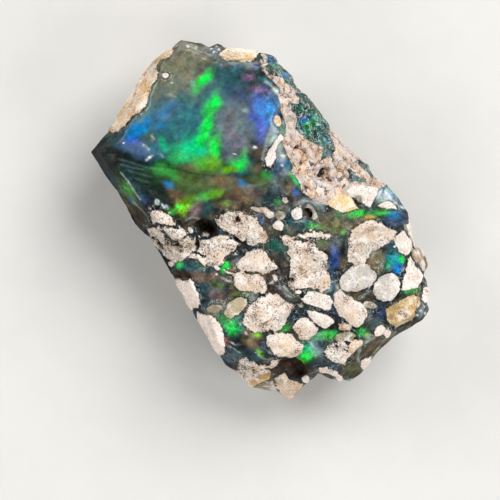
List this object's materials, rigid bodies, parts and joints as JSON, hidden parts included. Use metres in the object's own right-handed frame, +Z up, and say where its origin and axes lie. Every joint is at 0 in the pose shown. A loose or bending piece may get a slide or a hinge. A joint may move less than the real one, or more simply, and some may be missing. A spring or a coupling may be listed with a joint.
{
  "type": "rough black opal",
  "caption": "Rough smoked opal stone: dark precious opal with a clear window facet, cementing pale pumice clasts, lying on its flat back.",
  "frame": {"origin": "on the resting plane, under the middle of the stone's bounding box", "axes": "+X along the stone towards its clast-rich end, +Y across it towards the sandy slope, +Z up out of the show face"},
  "size_m": [0.024, 0.0156, 0.0092],
  "materials": {
    "smoked_opal_in_pumice": "glassy dark opal with green and blue fire between chalky, pitted pale clasts"
  },
  "bodies": {
    "root": {"rough_opal": "smoked_opal_in_pumice"}
  },
  "joints": []
}
